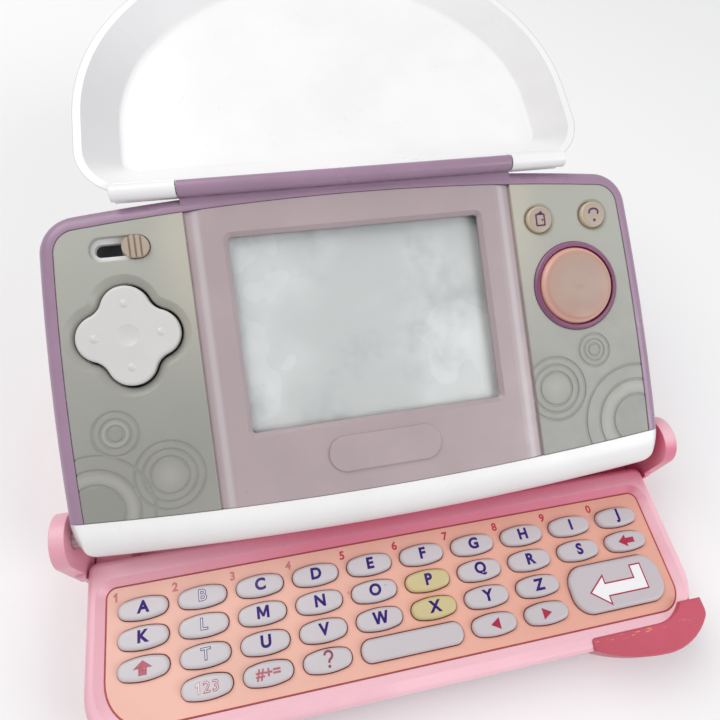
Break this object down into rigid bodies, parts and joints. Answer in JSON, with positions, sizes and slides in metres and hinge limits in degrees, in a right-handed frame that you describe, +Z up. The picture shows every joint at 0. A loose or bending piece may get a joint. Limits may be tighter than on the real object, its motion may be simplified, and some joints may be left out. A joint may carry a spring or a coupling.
{
  "type": "toy laptop computer",
  "caption": "Toy learning laptop: keyboard drawer that slides under a tilting screen unit with direction pad, round buttons and a flip-up dished lid.",
  "frame": {"origin": "centre of the base case's underside, on the surface it stands on", "axes": "+Z up, +X to the user's right, +Y away from the user; drawer out, screen up, lid open at rest"},
  "size_m": [0.1468, 0.179, 0.0804],
  "materials": {
    "case_pink": "satin moulded",
    "case_white": "satin moulded",
    "trim_purple": "satin moulded",
    "panel_grey": "fine grain, moulded rings",
    "bezel_pink": "satin moulded",
    "lens_clear": "clear window",
    "lcd_grey": "switched-off display",
    "panel_peach": "fine grain",
    "key_white": "fine grain, printed legends",
    "key_yellow": "fine grain, printed legends",
    "mat_rubber": "matt",
    "grip_coral": "matt moulded",
    "pad_grey": "satin moulded",
    "knob_salmon": "satin moulded",
    "button_beige": "satin moulded",
    "board_green": "solder mask",
    "speaker_black": "matt",
    "cell_metal": "bare can",
    "pin_steel": "turned"
  },
  "bodies": {
    "base": {"base_case": "case_pink", "battery_door": "case_pink", "battery_cells": "cell_metal"},
    "drawer": {"drawer_tray": "case_pink", "key_panel": "panel_peach", "key_membrane": "mat_rubber", "corner_grips": "grip_coral"},
    "screen": {"rear_shell": "case_white", "front_frame": "case_white", "trim_frame": "trim_purple", "side_panels": "panel_grey", "screen_bezel": "bezel_pink", "screen_window": "lens_clear", "lcd_module": "lcd_grey", "main_board": "board_green", "speaker": "speaker_black", "case_screws": "pin_steel", "hinge_pins": "pin_steel"},
    "lid": {"lid_shell": "case_white"},
    "dpad_rocker": {"dpad_pivot": "mat_rubber"},
    "dpad": {"dpad": "pad_grey"},
    "ok_button": {"ok_button": "knob_salmon"},
    "exit_button": {"exit_button": "button_beige"},
    "help_button": {"help_button": "button_beige"},
    "power_switch": {"power_switch": "button_beige"},
    "key_a": {"key_a": "key_white"},
    "key_b": {"key_b": "key_white"},
    "key_c": {"key_c": "key_white"},
    "key_d": {"key_d": "key_white"},
    "key_e": {"key_e": "key_white"},
    "key_f": {"key_f": "key_white"},
    "key_g": {"key_g": "key_white"},
    "key_h": {"key_h": "key_white"},
    "key_i": {"key_i": "key_white"},
    "key_j": {"key_j": "key_white"},
    "key_k": {"key_k": "key_white"},
    "key_l": {"key_l": "key_white"},
    "key_m": {"key_m": "key_white"},
    "key_n": {"key_n": "key_white"},
    "key_o": {"key_o": "key_white"},
    "key_p": {"key_p": "key_yellow"},
    "key_q": {"key_q": "key_white"},
    "key_r": {"key_r": "key_white"},
    "key_s": {"key_s": "key_white"},
    "key_backspace": {"key_backspace": "key_white"},
    "key_shift": {"key_shift": "key_white"},
    "key_t": {"key_t": "key_white"},
    "key_u": {"key_u": "key_white"},
    "key_v": {"key_v": "key_white"},
    "key_w": {"key_w": "key_white"},
    "key_x": {"key_x": "key_yellow"},
    "key_y": {"key_y": "key_white"},
    "key_z": {"key_z": "key_white"},
    "key_numbers": {"key_numbers": "key_white"},
    "key_symbols": {"key_symbols": "key_white"},
    "key_question": {"key_question": "key_white"},
    "key_space": {"key_space": "key_white"},
    "key_left": {"key_left": "key_white"},
    "key_right": {"key_right": "key_white"},
    "key_enter": {"key_enter": "key_white"}
  },
  "joints": [
    {"name": "drawer_slide", "type": "slide", "parent": "base", "child": "drawer", "axis": [0, 1, 0], "range_m": [0, 0.036]},
    {"name": "screen_tilt", "type": "hinge", "parent": "base", "child": "screen", "pos_m": [0, -0.03095, 0.0229], "axis": [1, 0, 0], "range_deg": [-29.4, 0]},
    {"name": "lid_hinge", "type": "hinge", "parent": "screen", "child": "lid", "pos_m": [0, 0.0284, 0.06506], "axis": [1, 0, 0], "range_deg": [0, 196]},
    {"name": "dpad_rock", "type": "hinge", "parent": "screen", "child": "dpad_rocker", "pos_m": [-0.052, 0.00322, 0.04864], "axis": [1, 0, 0], "range_deg": [-4, 4], "stiffness_Nm_per_rad": 0.05},
    {"name": "dpad_tilt", "type": "hinge", "parent": "dpad_rocker", "child": "dpad", "pos_m": [-0.052, 0.00322, 0.04864], "axis": [0, 0.8712, 0.4909], "range_deg": [-4, 4], "stiffness_Nm_per_rad": 0.05},
    {"name": "ok_press", "type": "slide", "parent": "screen", "child": "ok_button", "axis": [0, 0.4909, -0.8712], "range_m": [0, 0.001], "stiffness_N_per_m": 400},
    {"name": "exit_press", "type": "slide", "parent": "screen", "child": "exit_button", "axis": [0, 0.4909, -0.8712], "range_m": [0, 0.001], "stiffness_N_per_m": 400},
    {"name": "help_press", "type": "slide", "parent": "screen", "child": "help_button", "axis": [0, 0.4909, -0.8712], "range_m": [0, 0.001], "stiffness_N_per_m": 400},
    {"name": "power_slide", "type": "slide", "parent": "screen", "child": "power_switch", "axis": [-1, 0, 0], "range_m": [0, 0.0066]},
    {"name": "press_a", "type": "slide", "parent": "drawer", "child": "key_a", "axis": [0, 0, -1], "range_m": [0, 0.001], "stiffness_N_per_m": 300},
    {"name": "press_b", "type": "slide", "parent": "drawer", "child": "key_b", "axis": [0, 0, -1], "range_m": [0, 0.001], "stiffness_N_per_m": 300},
    {"name": "press_c", "type": "slide", "parent": "drawer", "child": "key_c", "axis": [0, 0, -1], "range_m": [0, 0.001], "stiffness_N_per_m": 300},
    {"name": "press_d", "type": "slide", "parent": "drawer", "child": "key_d", "axis": [0, 0, -1], "range_m": [0, 0.001], "stiffness_N_per_m": 300},
    {"name": "press_e", "type": "slide", "parent": "drawer", "child": "key_e", "axis": [0, 0, -1], "range_m": [0, 0.001], "stiffness_N_per_m": 300},
    {"name": "press_f", "type": "slide", "parent": "drawer", "child": "key_f", "axis": [0, 0, -1], "range_m": [0, 0.001], "stiffness_N_per_m": 300},
    {"name": "press_g", "type": "slide", "parent": "drawer", "child": "key_g", "axis": [0, 0, -1], "range_m": [0, 0.001], "stiffness_N_per_m": 300},
    {"name": "press_h", "type": "slide", "parent": "drawer", "child": "key_h", "axis": [0, 0, -1], "range_m": [0, 0.001], "stiffness_N_per_m": 300},
    {"name": "press_i", "type": "slide", "parent": "drawer", "child": "key_i", "axis": [0, 0, -1], "range_m": [0, 0.001], "stiffness_N_per_m": 300},
    {"name": "press_j", "type": "slide", "parent": "drawer", "child": "key_j", "axis": [0, 0, -1], "range_m": [0, 0.001], "stiffness_N_per_m": 300},
    {"name": "press_k", "type": "slide", "parent": "drawer", "child": "key_k", "axis": [0, 0, -1], "range_m": [0, 0.001], "stiffness_N_per_m": 300},
    {"name": "press_l", "type": "slide", "parent": "drawer", "child": "key_l", "axis": [0, 0, -1], "range_m": [0, 0.001], "stiffness_N_per_m": 300},
    {"name": "press_m", "type": "slide", "parent": "drawer", "child": "key_m", "axis": [0, 0, -1], "range_m": [0, 0.001], "stiffness_N_per_m": 300},
    {"name": "press_n", "type": "slide", "parent": "drawer", "child": "key_n", "axis": [0, 0, -1], "range_m": [0, 0.001], "stiffness_N_per_m": 300},
    {"name": "press_o", "type": "slide", "parent": "drawer", "child": "key_o", "axis": [0, 0, -1], "range_m": [0, 0.001], "stiffness_N_per_m": 300},
    {"name": "press_p", "type": "slide", "parent": "drawer", "child": "key_p", "axis": [0, 0, -1], "range_m": [0, 0.001], "stiffness_N_per_m": 300},
    {"name": "press_q", "type": "slide", "parent": "drawer", "child": "key_q", "axis": [0, 0, -1], "range_m": [0, 0.001], "stiffness_N_per_m": 300},
    {"name": "press_r", "type": "slide", "parent": "drawer", "child": "key_r", "axis": [0, 0, -1], "range_m": [0, 0.001], "stiffness_N_per_m": 300},
    {"name": "press_s", "type": "slide", "parent": "drawer", "child": "key_s", "axis": [0, 0, -1], "range_m": [0, 0.001], "stiffness_N_per_m": 300},
    {"name": "press_backspace", "type": "slide", "parent": "drawer", "child": "key_backspace", "axis": [0, 0, -1], "range_m": [0, 0.001], "stiffness_N_per_m": 300},
    {"name": "press_shift", "type": "slide", "parent": "drawer", "child": "key_shift", "axis": [0, 0, -1], "range_m": [0, 0.001], "stiffness_N_per_m": 300},
    {"name": "press_t", "type": "slide", "parent": "drawer", "child": "key_t", "axis": [0, 0, -1], "range_m": [0, 0.001], "stiffness_N_per_m": 300},
    {"name": "press_u", "type": "slide", "parent": "drawer", "child": "key_u", "axis": [0, 0, -1], "range_m": [0, 0.001], "stiffness_N_per_m": 300},
    {"name": "press_v", "type": "slide", "parent": "drawer", "child": "key_v", "axis": [0, 0, -1], "range_m": [0, 0.001], "stiffness_N_per_m": 300},
    {"name": "press_w", "type": "slide", "parent": "drawer", "child": "key_w", "axis": [0, 0, -1], "range_m": [0, 0.001], "stiffness_N_per_m": 300},
    {"name": "press_x", "type": "slide", "parent": "drawer", "child": "key_x", "axis": [0, 0, -1], "range_m": [0, 0.001], "stiffness_N_per_m": 300},
    {"name": "press_y", "type": "slide", "parent": "drawer", "child": "key_y", "axis": [0, 0, -1], "range_m": [0, 0.001], "stiffness_N_per_m": 300},
    {"name": "press_z", "type": "slide", "parent": "drawer", "child": "key_z", "axis": [0, 0, -1], "range_m": [0, 0.001], "stiffness_N_per_m": 300},
    {"name": "press_numbers", "type": "slide", "parent": "drawer", "child": "key_numbers", "axis": [0, 0, -1], "range_m": [0, 0.001], "stiffness_N_per_m": 300},
    {"name": "press_symbols", "type": "slide", "parent": "drawer", "child": "key_symbols", "axis": [0, 0, -1], "range_m": [0, 0.001], "stiffness_N_per_m": 300},
    {"name": "press_question", "type": "slide", "parent": "drawer", "child": "key_question", "axis": [0, 0, -1], "range_m": [0, 0.001], "stiffness_N_per_m": 300},
    {"name": "press_space", "type": "slide", "parent": "drawer", "child": "key_space", "axis": [0, 0, -1], "range_m": [0, 0.001], "stiffness_N_per_m": 300},
    {"name": "press_left", "type": "slide", "parent": "drawer", "child": "key_left", "axis": [0, 0, -1], "range_m": [0, 0.001], "stiffness_N_per_m": 300},
    {"name": "press_right", "type": "slide", "parent": "drawer", "child": "key_right", "axis": [0, 0, -1], "range_m": [0, 0.001], "stiffness_N_per_m": 300},
    {"name": "press_enter", "type": "slide", "parent": "drawer", "child": "key_enter", "axis": [0, 0, -1], "range_m": [0, 0.001], "stiffness_N_per_m": 300}
  ]
}
